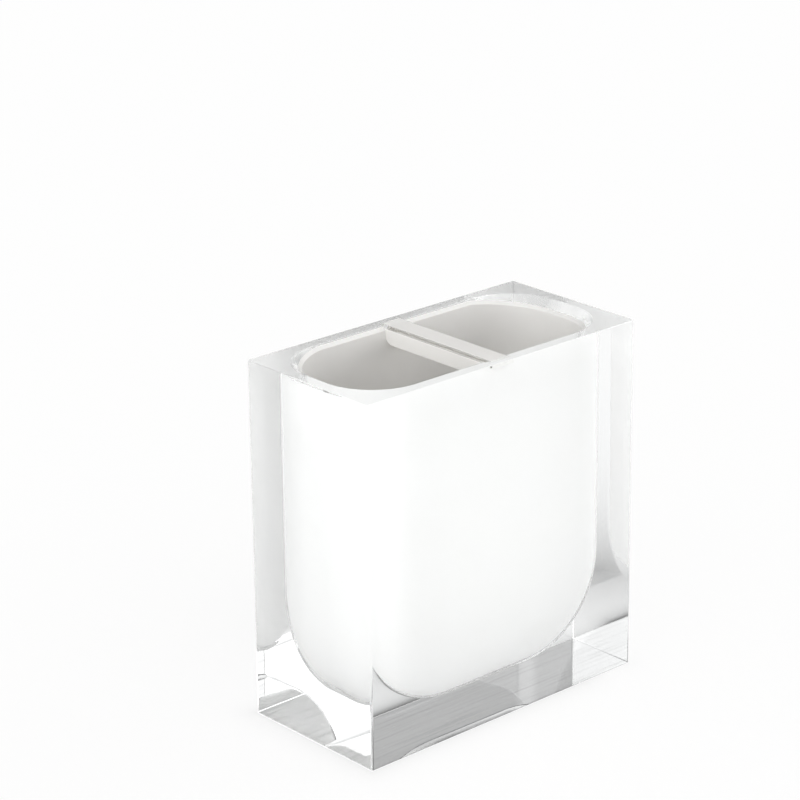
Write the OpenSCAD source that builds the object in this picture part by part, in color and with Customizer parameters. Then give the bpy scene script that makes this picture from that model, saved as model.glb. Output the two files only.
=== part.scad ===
// Toothbrush holder: a clear cast resin block with an opaque white liner
// bonded inside it, and a clear bar across the mouth that makes two slots.
// X runs along the block, Y through its depth, Z up. Z zero is the worktop.

/* [Block] */
// Length of the block
block_len = 104; // [98:1:150]
// Depth of the block, front to back
block_depth = 51; // [46:1:90]
// Height of the block
block_height = 110; // [80:1:150]
// Clear resin left under the liner
base_thickness = 8.8; // [3:0.2:20]
// Radius of the four upright edges
upright_r = 0.6; // [0.4:0.1:3]
// Bevel on the edges of the top and bottom faces
arris = 0.5; // [0.2:0.1:1.2]

/* [Mouth] */
// Flat rim at each end of the mouth
end_rim = 3.9; // [2:0.1:8]
// Flat rim along each long side of the mouth
side_rim = 3.7; // [2:0.1:6]
// Corner radius of the mouth
mouth_corner_r = 17; // [6:0.5:20]
// Polished bevel from the mouth in to the well, at each end
end_bevel = 3.3; // [1.5:0.1:5]
// Polished bevel from the mouth in to the well, along each side
side_bevel = 1.4; // [0.6:0.1:2.5]

/* [Liner] */
// Wall of the white liner
liner_wall = 1; // [0.6:0.1:1.4]
// Corner radius of the well, seen from above
well_corner_r = 16; // [6:0.5:18]
// Radius of the bend from the end walls into the floor
well_bend_r = 29; // [19:1:36]

/* [Divider] */
// Width of the divider bar, along the block
bar_width = 8.4; // [4:0.2:16]
// Height of the divider bar
bar_height = 5.4; // [4:0.1:12]
// Radius under each end of the divider bar
bar_end_r = 2.6; // [0.8:0.1:3]
// Radius of the two long edges on top of the divider bar
bar_top_r = 1.1; // [0.3:0.1:1.5]
// How far each end of the bar is let into the rim, past the mouth
bar_seat = 1.2; // [0.4:0.1:2.4]
// How deep the seats for the bar's ends are cut
seat_height = 1.8; // [1.5:0.1:2.6]

/* [Hidden] */
// Cuts run this far past the faces that they open
overrun = 1;
// Least straight length kept between two rounded corners
least_straight = 0.6;
$fn = 96;

// The mouth follows the outside of the block, less its rims
mouth_len = block_len - 2 * end_rim;
mouth_depth = block_depth - 2 * side_rim;
mouth_r = min(mouth_corner_r, (mouth_depth - least_straight) / 2);

// The well follows the mouth, less its bevels
well_len = mouth_len - 2 * end_bevel;
well_depth = mouth_depth - 2 * side_bevel;
well_r = min(well_corner_r, (well_depth - least_straight) / 2);
well_floor = base_thickness + liner_wall;
well_bend = min(well_bend_r, (well_len - least_straight) / 2);

// The bevel is cut at 45 degrees, as deep as it is wide at the ends
bevel_depth = max(end_bevel, side_bevel);
bevel_r = mouth_r - bevel_depth;

// The seats go deeper than the bevel, and leave some rim beyond their ends
seat_depth = max(seat_height, side_bevel + least_straight / 2);
bar_reach = mouth_depth / 2 + min(bar_seat, side_rim - least_straight);

// Two straight strips and four discs make one rounded outline
module rounded_outline(len, depth, r) {
    square([len - 2 * r, depth], center = true);
    square([len, depth - 2 * r], center = true);
    for (x = [-1, 1], y = [-1, 1])
        translate([x * (len / 2 - r), y * (depth / 2 - r)])
            circle(r = r);
}

module rounded_slab(len, depth, r, height) {
    linear_extrude(height)
        rounded_outline(len, depth, r);
}

// Section of a slab that widens by the same amount on both sides going up
module widening_section(width, spread, height) {
    polygon([
        [-width / 2, 0],
        [width / 2, 0],
        [width / 2 + spread, height],
        [-width / 2 - spread, height]
    ]);
}

// A rounded slab whose four sides lean outwards by spread over its height
module widening_slab(len, depth, r, spread, height) {
    straight_len = len - 2 * r;
    straight_depth = depth - 2 * r;
    rotate([90, 0, 90])
        translate([0, 0, -straight_len / 2])
            linear_extrude(straight_len)
                widening_section(depth, spread, height);
    rotate([90, 0, 0])
        translate([0, 0, -straight_depth / 2])
            linear_extrude(straight_depth)
                widening_section(len, spread, height);
    for (x = [-1, 1], y = [-1, 1])
        translate([x * straight_len / 2, y * straight_depth / 2])
            cylinder(h = height, r1 = r, r2 = r + spread);
}

// Lower half of an outline with two rounded corners, hung below the X axis
module trough_section(width, depth, r) {
    translate([-width / 2, r - depth])
        square([width, depth - r]);
    translate([r - width / 2, -depth])
        square([width - 2 * r, depth]);
    intersection() {
        for (side = [-1, 1])
            translate([side * (width / 2 - r), r - depth])
                circle(r = r);
        translate([-width / 2, -depth])
            square([width, depth]);
    }
}

// The soft U of the well: upright walls, and a rounded section that turns
// through a quarter circle at each end and runs straight along the floor
module well_form(len, depth, r, bend, floor_z, top_z) {
    straight = len - 2 * bend;
    spring_z = floor_z + bend;
    translate([0, 0, spring_z])
        rounded_slab(len, depth, r, top_z - spring_z);
    translate([-straight / 2, 0, spring_z])
        rotate([90, 0, 90])
            linear_extrude(straight)
                trough_section(depth, bend, r);
    for (end = [0, 1])
        mirror([end, 0, 0])
            translate([straight / 2, 0, spring_z])
                rotate([90, 0, 0])
                    rotate([0, 0, -90])
                        rotate_extrude(angle = 90)
                            rotate([0, 0, 90])
                                trough_section(depth, bend, r);
}

module liner_outside(top_z) {
    well_form(well_len + 2 * liner_wall, well_depth + 2 * liner_wall, well_r + liner_wall,
        well_bend + liner_wall, base_thickness, top_z);
}

module liner_inside(top_z) {
    well_form(well_len, well_depth, well_r, well_bend, well_floor, top_z);
}

// The bevelled opening that the block and the liner share
module mouth_cut() {
    translate([0, 0, block_height - bevel_depth])
        widening_slab(mouth_len - 2 * bevel_depth, mouth_depth - 2 * bevel_depth, bevel_r,
            bevel_depth + overrun, bevel_depth + overrun);
}

// Two square seats in the rim, one for each end of the bar
module bar_seats() {
    translate([-bar_width / 2, -bar_reach, block_height - seat_depth])
        cube([bar_width, 2 * bar_reach, seat_depth + overrun]);
}

module block_outside() {
    translate([0, 0, arris])
        rounded_slab(block_len, block_depth, upright_r, block_height - 2 * arris);
    inset_len = block_len - 2 * arris;
    inset_depth = block_depth - 2 * arris;
    widening_slab(inset_len, inset_depth, max(upright_r - arris, arris / 4), arris, arris);
    translate([0, 0, block_height])
        mirror([0, 0, 1])
            widening_slab(inset_len, inset_depth, max(upright_r - arris, arris / 4), arris, arris);
}

// Clear cast resin, polished on every outer face
module resin_block() {
    color("ghostwhite", 0.4)
        difference() {
            block_outside();
            liner_outside(block_height + overrun);
            mouth_cut();
            bar_seats();
        }
}

// Opaque white resin, cut off by the same bevel as the mouth
module white_liner() {
    color("white")
        difference() {
            liner_outside(block_height);
            liner_inside(block_height + overrun);
            mouth_cut();
            bar_seats();
        }
}

// The bar seen from its side: a tongue at each end lies in its seat, and below
// it the bar fills the well, with both lower corners round
module bar_side_view() {
    body_height = bar_height - seat_depth;
    end_r = min(bar_end_r, body_height - least_straight);
    translate([-bar_reach, block_height - seat_depth])
        square([2 * bar_reach, seat_depth]);
    translate([0, block_height - seat_depth])
        trough_section(well_depth, body_height, end_r);
}

// The bar seen from its end: both edges on top are round
module bar_end_view() {
    bar_z = block_height - bar_height;
    inner_width = bar_width - 2 * bar_top_r;
    translate([-bar_width / 2, bar_z])
        square([bar_width, bar_height - bar_top_r]);
    translate([-inner_width / 2, bar_z])
        square([inner_width, bar_height]);
    for (side = [-1, 1])
        translate([side * inner_width / 2, block_height - bar_top_r])
            circle(r = bar_top_r);
}

// Clear bar bonded in to its seats across the middle of the mouth, flush with the rim
module divider_bar() {
    color("ghostwhite", 0.5)
        intersection() {
            translate([-bar_width / 2, 0, 0])
                rotate([90, 0, 90])
                    linear_extrude(bar_width)
                        bar_side_view();
            rotate([90, 0, 0])
                translate([0, 0, -bar_reach])
                    linear_extrude(2 * bar_reach)
                        bar_end_view();
        }
}

resin_block();
white_liner();
divider_bar();
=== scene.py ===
"""Looks of the toothbrush holder: a clear cast resin block, the white liner
bonded inside it, and the clear bar across its mouth, in a plain white studio."""

import math
import random

import bmesh
import bpy
from mathutils import Matrix, Vector


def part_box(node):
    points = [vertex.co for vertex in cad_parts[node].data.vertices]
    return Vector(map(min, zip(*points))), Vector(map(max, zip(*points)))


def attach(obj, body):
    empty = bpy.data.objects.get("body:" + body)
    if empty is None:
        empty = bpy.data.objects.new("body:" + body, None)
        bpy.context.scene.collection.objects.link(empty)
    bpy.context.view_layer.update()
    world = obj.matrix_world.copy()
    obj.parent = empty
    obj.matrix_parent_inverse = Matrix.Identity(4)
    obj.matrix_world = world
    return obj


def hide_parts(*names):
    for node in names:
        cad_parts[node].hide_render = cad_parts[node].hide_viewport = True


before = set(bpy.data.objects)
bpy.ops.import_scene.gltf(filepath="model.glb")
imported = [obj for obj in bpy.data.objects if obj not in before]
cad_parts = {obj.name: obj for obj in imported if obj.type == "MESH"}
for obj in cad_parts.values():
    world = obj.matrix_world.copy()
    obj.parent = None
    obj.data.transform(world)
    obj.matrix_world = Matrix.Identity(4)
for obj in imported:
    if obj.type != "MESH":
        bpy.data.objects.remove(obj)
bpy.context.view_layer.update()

MM = 0.001

# Axes: along the block's length, through its depth, and up
X, Y, Z = 0, 1, 2

# What the frame gives
BLOCK_LO, BLOCK_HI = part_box("resin_block")
LINER_LO, LINER_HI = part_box("white_liner")
BAR_LO, BAR_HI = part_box("divider_bar")
TOP = BLOCK_HI.z

# Real sizes of the block's rounded upright edges, and of the fine arrises of its foot and top
UPRIGHT_R = 0.6 * MM
UPRIGHT_STEPS = 6
FOOT_ARRIS = 0.15 * MM
TOP_ARRIS = 0.2 * MM
ARRIS_STEPS = 2

# Real sizes of the mouth: the flat rims beside it, its corners, and its bevel, which falls as
# far as it goes in. Polishing has softened the edge between the rim and the bevel
END_RIM = 3.9 * MM
SIDE_RIM = 3.7 * MM
MOUTH_HALF = Vector((BLOCK_HI.x - END_RIM, BLOCK_HI.y - SIDE_RIM))
MOUTH_R = 17 * MM
BEVEL_SLOPE = math.radians(45)
MOUTH_EDGE_R = 0.5 * MM
MOUTH_EDGE_STEPS = 3

# Real sizes of the liner, measured on its outside
LINER_WALL = 1.0 * MM
LINER_CORNER_R = 17 * MM
LINER_BEND_R = 30 * MM
CORNER_STEPS = 20
BEND_STEPS = 28
WELL_SIDE = LINER_HI.y - LINER_WALL

# Real sizes of the bar's lower corners and long top edges, of the seats in the rim that hold
# its ends, and of its body's reach into the liner's wall
BAR_END_R = 2.6 * MM
BAR_END_STEPS = 12
BAR_TOP_R = 1.1 * MM
BAR_TOP_STEPS = 8
SEAT_DEPTH = 1.8 * MM
BAR_IN_WALL = 0.25 * MM

# Air bubbles in the bar: their radii, how far inside its faces they keep, how far from its ends
# they reach, and the share of those over the well that may lie in its lower part. About two of
# three lie at its back end
BUBBLE_SEED = 7
BUBBLE_COUNT = 34
BUBBLE_ENDS = (1, 1, -1)
BUBBLE_R = (0.08 * MM, 0.26 * MM)
BUBBLE_DIVISIONS = 2
BUBBLE_INSET = 0.5 * MM
BUBBLE_REACH = 12 * MM
DEEP_BUBBLE_SHARE = 0.6

# Hidden overlaps, because two faces in one place would both catch the same ray: the block's
# cavity lies inside the liner's wall, with its upper edge just under the liner's rim, and the
# bar laps over the liner where it is bonded to it
CAVITY_IN_WALL = 0.4 * MM
CAVITY_DROP = 0.05 * MM
BOND_LAP = 0.03 * MM

# How far a cut runs on past the face that it opens
CUT_OVERRUN = 1.0 * MM

# Corners nearer than SAME_PLACE to a place count as there, and an edge whose ends are further
# apart than EDGE_SPAN along an axis runs along it
SAME_PLACE = 0.01 * MM
EDGE_SPAN = 0.5 * MM
QUARTER_TURN = math.pi / 2

# A face that lies square or at 45 degrees has only these numbers in its normal, and is flat. Two
# faces that meet at more than CREASE keep a crisp edge. A face at the foot is part of the
# underside if the upward part of its normal is under UNDERSIDE_NORMAL
FLAT_NORMAL = (0.0, math.sqrt(0.5), 1.0)
FLAT_TOLERANCE = 0.002
CREASE = math.radians(25)
UNDERSIDE_NORMAL = -0.9

# Indices of refraction: of the clear resin, of the white one behind the bond, and of the white
# one in air
RESIN_IOR = 1.56
LINER_IOR = 1.493
SATIN_IOR = 1.5

# Polishing waves of the block and of the bar, and the streaks of the underside: how wide they
# are, the scale of the coordinates, where a small number draws them out along that axis, and
# how deep they are
BLOCK_WAVE = 9.0 * MM
BLOCK_WAVE_SCALE = (0.12, 1.0, 1.0)
BLOCK_WAVE_DEPTH = 0.0006 * MM
BAR_WAVE = 6.0 * MM
BAR_WAVE_SCALE = (1.0, 0.15, 1.0)
BAR_WAVE_DEPTH = 0.0006 * MM
STREAK = 1.8 * MM
STREAK_SCALE = (0.045, 1.0, 1.0)
STREAK_DEPTH = 0.0008 * MM

# The heights of the streaks between which the wear sets in, and how much it makes up at most
WORN_HEIGHT = (0.44, 0.70)
WORN_SHARE = 0.16

# How much of its flat faces' look the bar's haze makes up, and how much of the haze's light
# has come through the bar
BAR_HAZE = 0.84
HAZE_GLOW = 0.12

# Cloudy patches of the bond film: their size, the values of the pattern between which a patch
# sets in, and how cloudy the film is between the patches and in them
PATCH = 1.5 * MM
PATCH_EDGE = (0.35, 0.65)
PATCH_CLOUD = (0.84, 0.94)

# The white resin's clouds of pigment, and the fine grain of its skin, drawn as coarse as it
# needs to show
PIGMENT_CLOUD = 14 * MM
SKIN_GRAIN = 1.2 * MM
SKIN_DEPTH = 0.01 * MM

# The colour of white light, and of a mirror or a film with no tint
WHITE = (1.0, 1.0, 1.0, 1.0)

# The Mix node has several sockets of the same name: these are the places of those for numbers
# and for colours
MIX_A, MIX_B = 2, 3
MIX_COLOUR_A, MIX_COLOUR_B = 6, 7
MIX_COLOUR_RESULT = 2


def linear(hex_code):
    """An sRGB hex colour as linear red, green, blue and alpha."""
    levels = [int(hex_code[i:i + 2], 16) / 255 for i in (1, 3, 5)]
    return tuple(v / 12.92 if v <= 0.04045 else ((v + 0.055) / 1.055) ** 2.4 for v in levels) + (1.0,)


def add_node(tree, kind, settings=None, links=None):
    """Adds a node, sets its attributes and sockets, and links its inputs. A node in links stands
    for its first output."""
    node = tree.nodes.new(kind)
    for key, value in (settings or {}).items():
        if isinstance(key, str) and hasattr(node, key):
            setattr(node, key, value)
        else:
            node.inputs[key].default_value = value
    for key, source in (links or {}).items():
        if isinstance(source, bpy.types.Node):
            source = source.outputs[0]
        tree.links.new(source, node.inputs[key])
    return node


def soft_ramp(between, to):
    """The settings of a soft ramp: over the stretch between, from the first to the second of to."""
    return {"interpolation_type": "SMOOTHSTEP", "From Min": between[0], "From Max": between[1],
            "To Min": to[0], "To Max": to[1]}


def new_material(name):
    """An empty node material."""
    material = bpy.data.materials.new(name)
    material.use_nodes = True
    material.node_tree.nodes.clear()
    return material


def resin_waves(tree, width, scale):
    """The long shallow waves that hand polishing leaves, as a height between 0 and 1."""
    coords = add_node(tree, "ShaderNodeTexCoord").outputs["Object"]
    drawn_out = add_node(tree, "ShaderNodeMapping", {"Scale": scale}, {"Vector": coords})
    return add_node(tree, "ShaderNodeTexNoise", {"Scale": 1 / width, "Detail": 2.0, "Roughness": 0.5},
                    {"Vector": drawn_out})


def clear_resin_shader(tree, waves, depth):
    """Water clear resin with no tint of its own, bent a little by its polishing waves."""
    bump = add_node(tree, "ShaderNodeBump", {"Strength": 1.0, "Distance": depth}, {"Height": waves})
    return add_node(tree, "ShaderNodeBsdfPrincipled", {
        "Base Color": linear("#FDFEFE"), "Roughness": 0.0, "IOR": RESIN_IOR, "Transmission Weight": 1.0,
    }, {"Normal": bump})


def polished_cast_resin():
    """Cast unsaturated polyester resin, sanded and buffed to a gloss: what is seen through it
    bends a little along its polishing waves."""
    material = new_material("polished_cast_resin")
    tree = material.node_tree
    waves = resin_waves(tree, BLOCK_WAVE, BLOCK_WAVE_SCALE)
    clear = clear_resin_shader(tree, waves, BLOCK_WAVE_DEPTH)
    add_node(tree, "ShaderNodeOutputMaterial", None, {"Surface": clear})
    return material


def buffed_underside():
    """The face that the block stands on, buffed along its length only: fine streaks that take a
    little off what it mirrors."""
    material = new_material("buffed_underside_resin")
    tree = material.node_tree
    streaks = resin_waves(tree, STREAK, STREAK_SCALE)
    clear = clear_resin_shader(tree, streaks, STREAK_DEPTH)
    dull = add_node(tree, "ShaderNodeBsdfGlossy", {"Color": linear("#404040"), "Roughness": 0.0})
    ramp = soft_ramp(WORN_HEIGHT, (0.0, WORN_SHARE))
    wear = add_node(tree, "ShaderNodeMapRange", ramp, {"Value": streaks})
    worn = add_node(tree, "ShaderNodeMixShader", None, {0: wear, 1: clear, 2: dull})
    add_node(tree, "ShaderNodeOutputMaterial", None, {"Surface": worn})
    return material


def hazy_bar_resin():
    """The bar's resin: its flat faces are only fine sanded, so a white haze hides most of what
    lies behind them, and its two rounded long edges are buffed clear and look darker."""
    material = new_material("hazy_bar_resin")
    tree = material.node_tree
    clear = clear_resin_shader(tree, resin_waves(tree, BAR_WAVE, BAR_WAVE_SCALE), BAR_WAVE_DEPTH)
    haze_white = linear("#F6F5F3")
    haze = add_node(tree, "ShaderNodeBsdfDiffuse", {"Color": haze_white})
    glow = add_node(tree, "ShaderNodeBsdfTranslucent", {"Color": haze_white})
    scatter = add_node(tree, "ShaderNodeMixShader", {0: HAZE_GLOW}, {1: haze, 2: glow})
    coords = add_node(tree, "ShaderNodeTexCoord").outputs["Object"]
    place = add_node(tree, "ShaderNodeSeparateXYZ", None, {"Vector": coords}).outputs
    across = add_node(tree, "ShaderNodeMath", {"operation": "ABSOLUTE"}, {0: place["X"]})
    near_edge = []
    for distance, limit in ((across, BAR_HI.x), (place["Z"], TOP)):
        ramp = soft_ramp((limit - BAR_TOP_R, limit - BAR_TOP_R / 2), (0.0, 1.0))
        near_edge.append(add_node(tree, "ShaderNodeMapRange", ramp, {"Value": distance}))
    edge = add_node(tree, "ShaderNodeMath", {"operation": "MULTIPLY"}, {0: near_edge[0], 1: near_edge[1]})
    share = add_node(tree, "ShaderNodeMapRange", soft_ramp((0.0, 1.0), (BAR_HAZE, 0.0)), {"Value": edge})
    bar = add_node(tree, "ShaderNodeMixShader", None, {0: share, 1: clear, 2: scatter})
    add_node(tree, "ShaderNodeOutputMaterial", None, {"Surface": bar})
    return material


def cloudy_bond_film():
    """The film of casting resin that bonds the bar's ends: resin on both sides, so nothing bends,
    but it set a little cloudy, in small patches."""
    material = new_material("cloudy_bond_film")
    tree = material.node_tree
    coords = add_node(tree, "ShaderNodeTexCoord").outputs["Object"]
    patches = add_node(tree, "ShaderNodeTexNoise", {"Scale": 1 / PATCH, "Detail": 2.0}, {"Vector": coords})
    share = add_node(tree, "ShaderNodeMapRange", soft_ramp(PATCH_EDGE, PATCH_CLOUD), {"Value": patches})
    clear = add_node(tree, "ShaderNodeBsdfTransparent", {"Color": WHITE})
    cloud = add_node(tree, "ShaderNodeBsdfDiffuse", {"Color": linear("#F8F8F6")})
    film = add_node(tree, "ShaderNodeMixShader", None, {0: share, 1: clear, 2: cloud})
    add_node(tree, "ShaderNodeOutputMaterial", None, {"Surface": film})
    return material


def white_resin(name, low_tone, high_tone, roughness, specular, bonded):
    """White pigmented casting resin: opaque, with a faint cloudiness from the pigment. Where it is
    bonded into the clear resin it bends light less, so that at a glancing angle it is a mirror."""
    material = new_material(name)
    tree = material.node_tree
    coords = add_node(tree, "ShaderNodeTexCoord").outputs["Object"]
    clouds = add_node(tree, "ShaderNodeTexNoise", {
        "Scale": 1 / PIGMENT_CLOUD, "Detail": 3.0, "Roughness": 0.55,
    }, {"Vector": coords})
    tone = add_node(tree, "ShaderNodeMix", {
        "data_type": "RGBA", MIX_COLOUR_A: linear(low_tone), MIX_COLOUR_B: linear(high_tone),
    }, {0: clouds})
    skin = add_node(tree, "ShaderNodeTexNoise", {"Scale": 1 / SKIN_GRAIN, "Detail": 2.0}, {"Vector": coords})
    bump = add_node(tree, "ShaderNodeBump", {"Strength": 0.5, "Distance": SKIN_DEPTH}, {"Height": skin})
    surface = add_node(tree, "ShaderNodeBsdfPrincipled", {
        "Roughness": roughness, "IOR": SATIN_IOR, "Specular IOR Level": specular,
    }, {"Base Color": tone.outputs[MIX_COLOUR_RESULT], "Normal": bump})
    if bonded:
        glance = add_node(tree, "ShaderNodeFresnel", {"IOR": LINER_IOR / RESIN_IOR})
        mirror = add_node(tree, "ShaderNodeBsdfGlossy", {"Color": WHITE, "Roughness": 0.0})
        surface = add_node(tree, "ShaderNodeMixShader", None, {0: glance, 1: surface, 2: mirror})
    add_node(tree, "ShaderNodeOutputMaterial", None, {"Surface": surface})
    return material


def lies_at(element, axis, place):
    """Whether all corners of an edge or a face lie at one place along an axis."""
    return all(abs(vert.co[axis] - place) < SAME_PLACE for vert in element.verts)


def runs_along(edge, axis):
    """Whether an edge's two ends lie well apart along an axis."""
    return abs(edge.verts[0].co[axis] - edge.verts[1].co[axis]) > EDGE_SPAN


def verts_of(edges):
    """The vertices of a chain of edges, each once."""
    return {vert for edge in edges for vert in edge.verts}


def new_edges(bm, known):
    """The edges that bm has gained since known was taken."""
    return [edge for edge in bm.edges if edge not in known]


def push_edges(bm, edges, by):
    """Extrudes a chain of edges by a vector and gives the new chain."""
    made = bmesh.ops.extrude_edge_only(bm, edges=edges)["geom"]
    bmesh.ops.translate(bm, verts=[g for g in made if isinstance(g, bmesh.types.BMVert)], vec=by)
    return [g for g in made if isinstance(g, bmesh.types.BMEdge)]


def turn_edges(bm, edges, centre):
    """Sweeps a chain of edges through the quarter turn of one bend, and gives the last chain."""
    made = bmesh.ops.spin(bm, geom=edges, cent=centre, axis=(0, 1, 0), dvec=(0, 0, 0),
                          angle=-QUARTER_TURN, steps=BEND_STEPS, use_duplicate=False)["geom_last"]
    return [g for g in made if isinstance(g, bmesh.types.BMEdge)]


def turn_corner(bm, vert, centre):
    """Draws a quarter circle from a vertex, as a chain of edges, and gives its last vertex."""
    made = bmesh.ops.spin(bm, geom=[vert], cent=centre, axis=(0, 0, 1), dvec=(0, 0, 0),
                          angle=-QUARTER_TURN, steps=CORNER_STEPS, use_duplicate=False)["geom_last"]
    return next(g for g in made if isinstance(g, bmesh.types.BMVert))


def inside_mouth(co):
    """How far a point lies inside the mouth's outline, and the level direction out to it."""
    past = Vector((max(abs(co.x) - (MOUTH_HALF.x - MOUTH_R), 0.0),
                   max(abs(co.y) - (MOUTH_HALF.y - MOUTH_R), 0.0)))
    out = Vector((math.copysign(past.x, co.x), math.copysign(past.y, co.y), 0.0))
    return MOUTH_R - past.length, out.normalized()


def well_sheet(bm, inset):
    """The soft U of the well as a sheet, inset from the liner's outside: a section with two round
    corners is drawn at the left end, then swept down, round, along the floor, round and up. Its
    top edges are set on the mouth's bevel and given back."""
    length = LINER_HI.x - LINER_LO.x - 2 * inset
    depth = LINER_HI.y - LINER_LO.y - 2 * inset
    corner_r = LINER_CORNER_R - inset
    bend_r = LINER_BEND_R - inset
    end_x, side_y = -length / 2, -depth / 2
    spring_z = LINER_LO.z + LINER_BEND_R
    known = set(bm.edges)
    vert = bm.verts.new((end_x + corner_r, side_y, TOP))
    vert = turn_corner(bm, vert, (end_x + corner_r, side_y + corner_r, TOP))
    vert = bmesh.ops.extrude_vert_indiv(bm, verts=[vert])["verts"][0]
    vert.co.y = -side_y - corner_r
    turn_corner(bm, vert, (end_x + corner_r, -side_y - corner_r, TOP))
    chain = new_edges(bm, known)
    chain = push_edges(bm, chain, (0, 0, spring_z - TOP))
    chain = turn_edges(bm, chain, (end_x + bend_r, 0, spring_z))
    chain = push_edges(bm, chain, (length - 2 * bend_r, 0, 0))
    chain = turn_edges(bm, chain, (-end_x - bend_r, 0, spring_z))
    push_edges(bm, chain, (0, 0, TOP - spring_z))
    for y in (side_y, -side_y):
        flat = [edge for edge in new_edges(bm, known) if edge.is_boundary and lies_at(edge, Y, y)]
        tips = [vert for edge in flat for vert in edge.verts if vert.co.z > TOP - SAME_PLACE]
        flat.append(bm.edges.new(tips))
        bmesh.ops.edgeloop_fill(bm, edges=flat)
    top = [edge for edge in new_edges(bm, known) if edge.is_boundary]
    for vert in verts_of(top):
        vert.co.z = TOP - inside_mouth(vert.co)[0]
    return top


def ring_to(bm, ring, inset, depth):
    """Adds a band of faces from a ring round the mouth to a new ring, at an inset from the mouth's
    outline and at a depth below the top."""
    ring = push_edges(bm, ring, (0, 0, 0))
    for vert in verts_of(ring):
        now, out = inside_mouth(vert.co)
        vert.co += out * (now - inset)
        vert.co.z = TOP - depth
    return ring


def ring_out(bm, ring, by):
    """Adds a band of faces from a ring to a new one on the bevel, further out."""
    ring = push_edges(bm, ring, (0, 0, 0))
    for vert in verts_of(ring):
        vert.co += inside_mouth(vert.co)[1] * by
        vert.co.z = TOP - inside_mouth(vert.co)[0]
    return ring


def add_box(bm, low, high):
    """Adds a square box between two corners."""
    low, high = Vector(low), Vector(high)
    place = Matrix.Translation((low + high) / 2) @ Matrix.Diagonal(high - low).to_4x4()
    bmesh.ops.create_cube(bm, size=1.0, matrix=place)


def box_mesh(low, high):
    """A square box between two corners, as a bmesh of its own."""
    bm = bmesh.new()
    add_box(bm, low, high)
    return bm


def round_edges(bm, edges, radius, segments):
    """Rounds edges off."""
    bmesh.ops.bevel(bm, geom=edges, offset=radius, offset_type="OFFSET", affect="EDGES", segments=segments,
                    profile=0.5, material=-1)


def joined(bm, other, operation):
    """The union or the difference of two solids, as a new bmesh."""
    things = []
    for part in (bm, other):
        mesh = bpy.data.meshes.new("work")
        part.to_mesh(mesh)
        part.free()
        thing = bpy.data.objects.new("work", mesh)
        bpy.context.scene.collection.objects.link(thing)
        things.append(thing)
    cut = things[0].modifiers.new("work", "BOOLEAN")
    cut.object, cut.operation, cut.solver = things[1], operation, "EXACT"
    solved = things[0].evaluated_get(bpy.context.evaluated_depsgraph_get())
    result = bmesh.new()
    result.from_mesh(solved.to_mesh())
    solved.to_mesh_clear()
    for thing in things:
        bpy.data.meshes.remove(thing.data)
    return result


def cut_bar_seats(bm, lap):
    """Cuts the seats for the bar's ends out of the rim, narrower than the bar by a lap."""
    tool = box_mesh((BAR_LO.x + lap, BAR_LO.y, TOP - SEAT_DEPTH),
                    (BAR_HI.x - lap, BAR_HI.y, TOP + CUT_OVERRUN))
    return joined(bm, tool, "DIFFERENCE")


def is_flat(face):
    """Whether a face lies square or at 45 degrees, and so is no part of a curve."""
    return all(min(abs(abs(part) - level) for level in FLAT_NORMAL) < FLAT_TOLERANCE for part in face.normal)


def make_piece(bm, name, node, materials):
    """Turns a bmesh into an object that stands for a CAD node and rides with the part."""
    for face in bm.faces:
        face.smooth = not is_flat(face)
    for edge in bm.edges:
        edge.smooth = edge.calc_face_angle(0.0) < CREASE
    mesh = bpy.data.meshes.new(name)
    bm.to_mesh(mesh)
    bm.free()
    for material in materials:
        mesh.materials.append(material)
    piece = bpy.data.objects.new(name, mesh)
    bpy.context.scene.collection.objects.link(piece)
    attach(piece, "root")
    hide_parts(node)
    return piece


def clear_block(polished, underside):
    """The cast block: polished faces, rounded uprights, fine arrises, the mouth's bevel with its
    softened edge, and the cavity, whose surface stays inside the liner's wall. Where the bar's
    ends are bonded in, resin meets the same resin and no face shows, so the seats stay open."""
    bm = bmesh.new()
    rim = well_sheet(bm, CAVITY_IN_WALL)
    for vert in verts_of(rim):
        vert.co.z -= CAVITY_DROP
    rim = ring_out(bm, rim, CAVITY_IN_WALL)
    for step in range(MOUTH_EDGE_STEPS + 1):
        slope = BEVEL_SLOPE * (1 - step / MOUTH_EDGE_STEPS)
        past = MOUTH_EDGE_R * (math.tan(BEVEL_SLOPE / 2) - math.sin(slope))
        rim = ring_to(bm, rim, -past, MOUTH_EDGE_R * (1 - math.cos(slope)))
    known = set(bm.edges)
    add_box(bm, BLOCK_LO, BLOCK_HI)
    uprights = [edge for edge in new_edges(bm, known) if runs_along(edge, Z)]
    round_edges(bm, uprights, UPRIGHT_R, UPRIGHT_STEPS)
    for level, arris in ((BLOCK_LO.z, FOOT_ARRIS), (TOP, TOP_ARRIS)):
        outline = [edge for edge in new_edges(bm, known) if lies_at(edge, Z, level)]
        round_edges(bm, outline, arris, ARRIS_STEPS)
    lid = max((face for face in bm.faces if lies_at(face, Z, TOP)), key=lambda face: face.calc_area())
    outline = list(lid.edges)
    bmesh.ops.delete(bm, geom=[lid], context="FACES_ONLY")
    bmesh.ops.triangle_fill(bm, use_beauty=True, edges=outline + rim)
    bmesh.ops.recalc_face_normals(bm, faces=bm.faces)
    bm = cut_bar_seats(bm, 0.0)
    seats = [face for face in bm.faces
             if all(abs(vert.co.x) < BAR_HI.x + SAME_PLACE and abs(vert.co.y) < BAR_HI.y + SAME_PLACE
                    and vert.co.z > TOP - SEAT_DEPTH - SAME_PLACE for vert in face.verts)]
    bmesh.ops.delete(bm, geom=seats, context="FACES_ONLY")
    for face in bm.faces:
        on_foot = face.calc_center_median().z < FOOT_ARRIS / 2
        face.material_index = int(on_foot and face.normal.z < UNDERSIDE_NORMAL)
    return make_piece(bm, "clear_block", "resin_block", [polished, underside])


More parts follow.
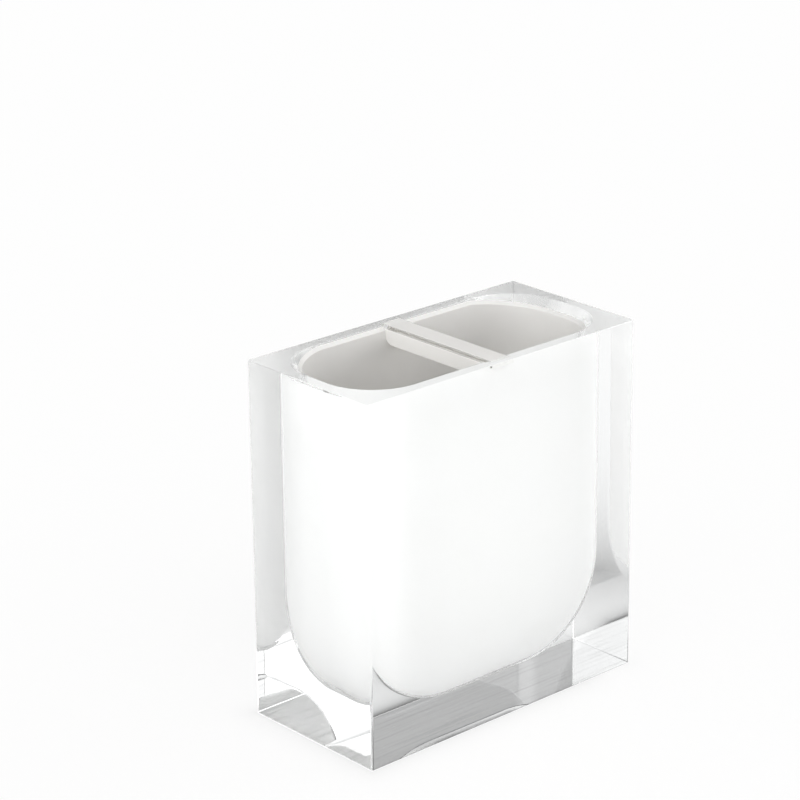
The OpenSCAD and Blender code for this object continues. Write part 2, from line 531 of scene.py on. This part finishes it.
def liner_cup(inside_finish, bonded_finish):
    """The white cup: two soft U sheets a wall apart, joined by the rim that the bevel cuts."""
    bm = bmesh.new()
    outer = well_sheet(bm, 0.0)
    bonded = set(bm.faces)
    inner = well_sheet(bm, LINER_WALL)
    bmesh.ops.bridge_loops(bm, edges=outer + inner)
    for face in bm.faces:
        face.material_index = int(face in bonded)
    bmesh.ops.recalc_face_normals(bm, faces=bm.faces)
    bm = cut_bar_seats(bm, BOND_LAP)
    return make_piece(bm, "liner_cup", "white_liner", [inside_finish, bonded_finish])


def bubbles(bm):
    """Fine air bubbles, trapped where the ends of the bar are bonded and a few along it. Their
    faces point inwards, to the air."""
    random.seed(BUBBLE_SEED)
    for _ in range(BUBBLE_COUNT):
        end = random.choice(BUBBLE_ENDS)
        y = end * (BAR_HI.y - BUBBLE_INSET - random.random() ** 2 * BUBBLE_REACH)
        x = random.uniform(BAR_LO.x + BUBBLE_INSET, BAR_HI.x - BUBBLE_INSET)
        z = random.uniform(TOP - SEAT_DEPTH + BUBBLE_INSET, TOP - BUBBLE_INSET)
        if abs(y) < WELL_SIDE - BAR_END_R and random.random() < DEEP_BUBBLE_SHARE:
            z = random.uniform(BAR_LO.z + BUBBLE_INSET, TOP - BUBBLE_INSET)
        radius = random.uniform(*BUBBLE_R)
        made = bmesh.ops.create_icosphere(bm, subdivisions=BUBBLE_DIVISIONS, radius=radius,
                                          matrix=Matrix.Translation((x, y, z)))
        shell = {face for vert in made["verts"] for face in vert.link_faces}
        bmesh.ops.reverse_faces(bm, faces=list(shell))


def open_bonded_end(bm, side):
    """Takes off the faces of one end of the bar that lie against the block's resin, below the
    mouth's bevel and past the liner. The end face stays, as the film of the bond."""
    past_liner = side * (LINER_HI.y - CAVITY_IN_WALL / 2)
    mouth = Vector((0, side * MOUTH_HALF.y, TOP))
    bevel_way = Vector((0, -side, 1)).normalized()
    for point, way in ((mouth, bevel_way), (Vector((0, past_liner, TOP)), Vector((0, 1, 0)))):
        whole = bm.verts[:] + bm.edges[:] + bm.faces[:]
        bmesh.ops.bisect_plane(bm, geom=whole, plane_co=point, plane_no=way)
    bonded = []
    for face in bm.faces:
        centre = face.calc_center_median()
        in_rim = (centre.y - past_liner) * side > SAME_PLACE and centre.z < TOP - SAME_PLACE
        if abs(centre.y) > BAR_HI.y - SAME_PLACE:
            face.material_index = 1
        elif in_rim and (centre - mouth).dot(bevel_way) < -SAME_PLACE:
            bonded.append(face)
    bmesh.ops.delete(bm, geom=bonded, context="FACES")


def clear_bar(hazy, bond):
    """The bar: flush on top with two soft edges over the well, a tongue at each end that is let
    into the rim, and round lower corners where the body meets the walls of the well."""
    body = box_mesh((BAR_LO.x, -WELL_SIDE - BAR_IN_WALL, BAR_LO.z),
                    (BAR_HI.x, WELL_SIDE + BAR_IN_WALL, TOP - SEAT_DEPTH))
    lower = [edge for edge in body.edges if lies_at(edge, Z, BAR_LO.z) and runs_along(edge, X)]
    round_edges(body, lower, BAR_END_R, BAR_END_STEPS)
    tongue_z = TOP - SEAT_DEPTH - BOND_LAP
    bm = box_mesh((BAR_LO.x, BAR_LO.y, tongue_z), (BAR_HI.x, BAR_HI.y, TOP))
    upper = [edge for edge in bm.edges if lies_at(edge, Z, TOP) and runs_along(edge, Y)]
    round_edges(bm, upper, BAR_TOP_R, BAR_TOP_STEPS)
    for low_y, high_y in ((BAR_LO.y, -MOUTH_HALF.y), (MOUTH_HALF.y, BAR_HI.y)):
        bm = joined(bm, box_mesh((BAR_LO.x, low_y, tongue_z), (BAR_HI.x, high_y, TOP)), "UNION")
    bm = joined(bm, body, "UNION")
    bmesh.ops.recalc_face_normals(bm, faces=bm.faces)
    for side in (-1, 1):
        open_bonded_end(bm, side)
    bubbles(bm)
    return make_piece(bm, "clear_bar", "divider_bar", [hazy, bond])


# The studio is white all round, at this level. A height is the upward part of a direction, from
# 0 at eye level to 1 overhead, and each pair of numbers holds the two values between which a
# light or a shade fades in or out
STUDIO_LEVEL = 1.19

# The shaded wall behind the part: its way, the cosines of the angles to that way between which
# it fades in, its share of the white, and the share of that which is left low down
BEHIND_AZIMUTH = math.radians(25)
BEHIND_WAY = (math.sin(BEHIND_AZIMUTH), math.cos(BEHIND_AZIMUTH), 0.0)
WALL_EDGE = (0.12, 0.60)
BEHIND_SHARE = 0.375
LOW_EDGE = (0.28, 0.38)
LOW_SHARE = 0.10

# A narrow tall light panel and a wider low one before that wall: the ways to their middles, the
# sines of the angles to them between which they fade out, the height at which the low one
# ends, and how much they add
PANEL_AZIMUTH = math.radians(44.4)
PANEL_EDGE = (0.0010, 0.0045)
PANEL_GAIN = 0.25
LOW_PANEL_AZIMUTH = math.radians(37.2)
LOW_PANEL_EDGE = (0.028, 0.040)
LOW_PANEL_TOP = (0.46, 0.50)
LOW_PANEL_GAIN = 1.5

# The share of the white that is left straight overhead, what is lost high up in front, and what
# is gained beyond the part's two ends, where the gain is turned a little to the front
OVERHEAD_EDGE = (0.55, 0.95)
OVERHEAD_SHARE = 0.52
FRONT_WAY = (0.0, -1.0, 0.0)
FRONT_EDGE = (0.10, 0.50)
FRONT_HEIGHT = (0.46, 0.66)
FRONT_LOSS = 0.65
END_EDGE = (0.82, 0.98)
END_TURN = -0.3
END_GAIN = 1.1

# The worktop: half its width in metres, how far it lies under the block's foot, how much of it
# looks plain white, and how much of its shade the camera sees where no resin lies between
FLOOR_HALF = 4.0
FLOOR_SQUARES = 8
FLOOR_GAP = 0.1 * MM
FLOOR_WHITE_SHARE = 0.94
SEEN_SHADE = 0.12

# The contact shadow round the block's foot: how dark it is, how far it reaches, the stretch of
# the block's length over which light from its right end sets in, and how much that takes off
FOOT_SHADE = 0.98
FOOT_SHADE_REACH = 3.2 * MM
LIT_END = (32 * MM, 44 * MM)
LIT_END_SHARE = 0.7

# The shade under the block: the places, counted outwards from the foot's outline, between which
# it ends, and the level that it leaves in the middle
UNDER_EDGE = (-14 * MM, -2 * MM)
UNDER_LEVEL = 0.45

# The soft shade on the worktop behind the block: how dark it is, how far it reaches, and where
BACK_SHADE = 0.6
BACK_SHADE_REACH = 40 * MM
BACK_SHADE_AT = (9 * MM, 57 * MM, 0.0)


def panel_light(tree, way, azimuth, edge, gain):
    """What an upright light panel adds to the wall, most at its middle."""
    across = (math.cos(azimuth), -math.sin(azimuth), 0.0)
    beside = add_node(tree, "ShaderNodeVectorMath", {"operation": "DOT_PRODUCT", 1: across}, {0: way})
    off_panel = add_node(tree, "ShaderNodeMath", {"operation": "ABSOLUTE"}, {0: beside.outputs["Value"]})
    return add_node(tree, "ShaderNodeMapRange", soft_ramp(edge, (gain, 0.0)), {"Value": off_panel})


def studio_world():
    """A white studio: a shaded wall behind the part, darker low down and with two light panels
    before it, less light overhead and high up in front, and more beyond the part's two ends."""
    world = bpy.data.worlds.new("studio")
    bpy.context.scene.world = world
    world.use_nodes = True
    tree = world.node_tree
    tree.nodes.clear()
    way = add_node(tree, "ShaderNodeTexCoord").outputs["Generated"]
    height = add_node(tree, "ShaderNodeSeparateXYZ", None, {"Vector": way}).outputs["Z"]
    toward = {}
    for side, aim in (("wall", BEHIND_WAY), ("front", FRONT_WAY)):
        dot = add_node(tree, "ShaderNodeVectorMath", {"operation": "DOT_PRODUCT", 1: aim}, {0: way})
        toward[side] = dot.outputs["Value"]
    flattened = add_node(tree, "ShaderNodeVectorMath", {"operation": "MULTIPLY", 1: (1, 1, 0)}, {0: way})
    level_way = add_node(tree, "ShaderNodeVectorMath", {"operation": "NORMALIZE"}, {0: flattened})
    level_parts = add_node(tree, "ShaderNodeSeparateXYZ", None, {"Vector": level_way}).outputs
    sideways = add_node(tree, "ShaderNodeMath", {"operation": "ABSOLUTE"}, {0: level_parts["X"]})
    toward["ends"] = add_node(tree, "ShaderNodeMath", {"operation": "MULTIPLY_ADD", 1: END_TURN},
                              {0: level_parts["Y"], 2: sideways})
    ramps = {}
    for name, value, between, to in (
            ("wall", toward["wall"], WALL_EDGE, (1.0, BEHIND_SHARE)),
            ("behind", toward["wall"], WALL_EDGE, (0.0, 1.0)),
            ("low loss", height, LOW_EDGE, (LOW_SHARE - 1.0, 0.0)),
            ("low panel", height, LOW_PANEL_TOP, (1.0, 0.0)),
            ("overhead", height, OVERHEAD_EDGE, (1.0, OVERHEAD_SHARE)),
            ("front loss", height, FRONT_HEIGHT, (0.0, -FRONT_LOSS)),
            ("front", toward["front"], FRONT_EDGE, (0.0, 1.0)),
            ("ends", toward["ends"], END_EDGE, (1.0, 1.0 + END_GAIN))):
        ramps[name] = add_node(tree, "ShaderNodeMapRange", soft_ramp(between, to), {"Value": value})
    tall_panel = panel_light(tree, way, PANEL_AZIMUTH, PANEL_EDGE, PANEL_GAIN)
    low_panel = panel_light(tree, way, LOW_PANEL_AZIMUTH, LOW_PANEL_EDGE, LOW_PANEL_GAIN)
    panels = add_node(tree, "ShaderNodeMath", {"operation": "MULTIPLY_ADD"},
                      {0: low_panel, 1: ramps["low panel"], 2: tall_panel})
    shares = [ramps["overhead"], ramps["ends"]]
    for change, where in ((ramps["low loss"], ramps["behind"]), (panels, ramps["behind"]),
                          (ramps["front loss"], ramps["front"])):
        shares.append(add_node(tree, "ShaderNodeMath", {"operation": "MULTIPLY_ADD", 2: 1.0},
                               {0: change, 1: where}))
    level = add_node(tree, "ShaderNodeMath", {"operation": "MULTIPLY", 1: STUDIO_LEVEL}, {0: ramps["wall"]})
    for share in shares:
        level = add_node(tree, "ShaderNodeMath", {"operation": "MULTIPLY"}, {0: level, 1: share})
    light = add_node(tree, "ShaderNodeBackground", {"Color": WHITE}, {"Strength": level})
    add_node(tree, "ShaderNodeOutputWorld", None, {"Surface": light})


def fading_shade(tree, gap, depth, reach):
    """What is left of the light at a distance from a shade: least at the shade, more with distance."""
    fall = add_node(tree, "ShaderNodeMath", {"operation": "DIVIDE", 1: -reach}, {0: gap})
    dark = add_node(tree, "ShaderNodeMath", {"operation": "EXPONENT"}, {0: fall})
    return add_node(tree, "ShaderNodeMath", {"operation": "MULTIPLY_ADD", 1: -depth, 2: 1.0}, {0: dark})


def foot_shade(tree):
    """How light the worktop is: dark where it meets the block's foot, and a soft shade behind."""
    coords = add_node(tree, "ShaderNodeTexCoord").outputs["Object"]
    foot_half = (BLOCK_HI.x, BLOCK_HI.y, 1.0)
    apart = add_node(tree, "ShaderNodeVectorMath", {"operation": "ABSOLUTE"}, {0: coords})
    beyond = add_node(tree, "ShaderNodeVectorMath", {"operation": "SUBTRACT", 1: foot_half}, {0: apart})
    past = add_node(tree, "ShaderNodeVectorMath", {"operation": "MAXIMUM", 1: (0, 0, 0)}, {0: beyond})
    gap = add_node(tree, "ShaderNodeVectorMath", {"operation": "LENGTH"}, {0: past}).outputs["Value"]
    right = add_node(tree, "ShaderNodeSeparateXYZ", None, {"Vector": coords}).outputs["X"]
    ramp = soft_ramp(LIT_END, (0.0, LIT_END_SHARE))
    lit_end = add_node(tree, "ShaderNodeMapRange", ramp, {"Value": right})
    contact = add_node(tree, "ShaderNodeMix", {"data_type": "FLOAT", MIX_B: 1.0},
                       {0: lit_end, MIX_A: fading_shade(tree, gap, FOOT_SHADE, FOOT_SHADE_REACH)})
    sides = add_node(tree, "ShaderNodeSeparateXYZ", None, {"Vector": beyond}).outputs
    outward = add_node(tree, "ShaderNodeMath", {"operation": "MAXIMUM"}, {0: sides["X"], 1: sides["Y"]})
    ramp = soft_ramp(UNDER_EDGE, (UNDER_LEVEL, 1.0))
    below = add_node(tree, "ShaderNodeMapRange", ramp, {"Value": outward})
    outside = add_node(tree, "ShaderNodeMath", {"operation": "GREATER_THAN", 1: SAME_PLACE}, {0: gap})
    near_foot = add_node(tree, "ShaderNodeMix", {"data_type": "FLOAT"},
                         {0: outside, MIX_A: below, MIX_B: contact})
    away = add_node(tree, "ShaderNodeVectorMath", {"operation": "DISTANCE", 1: BACK_SHADE_AT}, {0: coords})
    behind = fading_shade(tree, away.outputs["Value"], BACK_SHADE, BACK_SHADE_REACH)
    return add_node(tree, "ShaderNodeMath", {"operation": "MULTIPLY"}, {0: near_foot, 1: behind})


def matt_white_worktop():
    """A matt white worktop. The camera sees it white, and so do mirrored rays and rays that have
    come through the resin, but for the contact shadow round the block's foot."""
    material = new_material("matt_white_worktop")
    tree = material.node_tree
    matt = add_node(tree, "ShaderNodeBsdfDiffuse", {"Color": linear("#F4F4F2")})
    path = add_node(tree, "ShaderNodeLightPath").outputs
    unshaded = add_node(tree, "ShaderNodeMath", {"operation": "MULTIPLY", 1: 1.0 - SEEN_SHADE},
                        {0: path["Is Camera Ray"]})
    shade = add_node(tree, "ShaderNodeMix", {"data_type": "FLOAT", MIX_B: 1.0},
                     {0: unshaded, MIX_A: foot_shade(tree)})
    white = add_node(tree, "ShaderNodeEmission", {"Color": WHITE}, {"Strength": shade})
    plain = path["Is Camera Ray"]
    for way_seen in ("Is Glossy Ray", "Is Transmission Ray"):
        plain = add_node(tree, "ShaderNodeMath", {"operation": "MAXIMUM"}, {0: plain, 1: path[way_seen]})
    share = add_node(tree, "ShaderNodeMath", {"operation": "MULTIPLY", 1: FLOOR_WHITE_SHARE}, {0: plain})
    seen = add_node(tree, "ShaderNodeMixShader", None, {0: share, 1: matt, 2: white})
    add_node(tree, "ShaderNodeOutputMaterial", None, {"Surface": seen})
    return material


def white_floor():
    """The worktop that the part stands on."""
    bm = bmesh.new()
    bmesh.ops.create_grid(bm, x_segments=FLOOR_SQUARES, y_segments=FLOOR_SQUARES, size=FLOOR_HALF)
    bmesh.ops.translate(bm, verts=bm.verts, vec=(0, 0, BLOCK_LO.z - FLOOR_GAP))
    mesh = bpy.data.meshes.new("floor")
    bm.to_mesh(mesh)
    bm.free()
    mesh.materials.append(matt_white_worktop())
    floor = bpy.data.objects.new("floor", mesh)
    bpy.context.scene.collection.objects.link(floor)


# The photograph's view, in degrees and metres, and the focal length in pixels of its frame
VIEW_AZIMUTH = -41.76
VIEW_ELEVATION = 20.32
VIEW_ROLL = -0.64
VIEW_DISTANCE = 0.840
VIEW_TARGET = Vector((-17.2 * MM, 0, 95.9 * MM))
FOCAL_PX = 2956.0
FRAME_PX = 800
SENSOR_MM = 36.0
CLIP_START = 10 * MM

# How often a light path may bounce
ALL_BOUNCES = 32
GLOSSY_BOUNCES = 24
DIFFUSE_BOUNCES = 12


def photo_camera():
    """The camera, at the place and angle solved from the block's corners."""
    azimuth, elevation = math.radians(VIEW_AZIMUTH), math.radians(VIEW_ELEVATION)
    back = Vector((math.sin(azimuth) * math.cos(elevation), -math.cos(azimuth) * math.cos(elevation),
                   math.sin(elevation)))
    data = bpy.data.cameras.new("camera")
    data.sensor_width = SENSOR_MM
    data.lens = FOCAL_PX * SENSOR_MM / FRAME_PX
    data.clip_start = CLIP_START
    camera = bpy.data.objects.new("camera", data)
    camera.location = VIEW_TARGET + back * VIEW_DISTANCE
    camera.rotation_mode = "QUATERNION"
    level = (-back).to_track_quat("-Z", "Y")
    camera.rotation_quaternion = level @ Matrix.Rotation(math.radians(VIEW_ROLL), 4, "Z").to_quaternion()
    bpy.context.scene.collection.objects.link(camera)
    bpy.context.scene.camera = camera


def main():
    scene = bpy.context.scene
    scene.view_settings.view_transform = "Standard"
    scene.cycles.use_denoising = True
    # The denoiser takes the even dots of blue noise seen through the resin for a texture
    scene.cycles.sampling_pattern = "TABULATED_SOBOL"
    # The white liner is lit through polished resin, and blurred paths would lose that light
    scene.cycles.blur_glossy = 0.0
    scene.cycles.max_bounces = ALL_BOUNCES
    scene.cycles.transmission_bounces = ALL_BOUNCES
    scene.cycles.glossy_bounces = GLOSSY_BOUNCES
    scene.cycles.diffuse_bounces = DIFFUSE_BOUNCES
    studio_world()
    white_floor()
    photo_camera()
    # Both sides of the liner are one white resin. The inside's tones are set darker than the outside's as
    # painted shade for the well; its satin sheen and roughness are its real finish.
    satin = white_resin("satin_white_resin_painted_shade", "#E7E6E4", "#ECEBE9",
                        roughness=0.42, specular=0.5, bonded=False)
    bonded = white_resin("bonded_white_resin", "#F9F9F8", "#FCFCFC",
                         roughness=0.9, specular=0.0, bonded=True)
    clear_block(polished_cast_resin(), buffed_underside())
    liner_cup(satin, bonded)
    clear_bar(hazy_bar_resin(), cloudy_bond_film())


main()
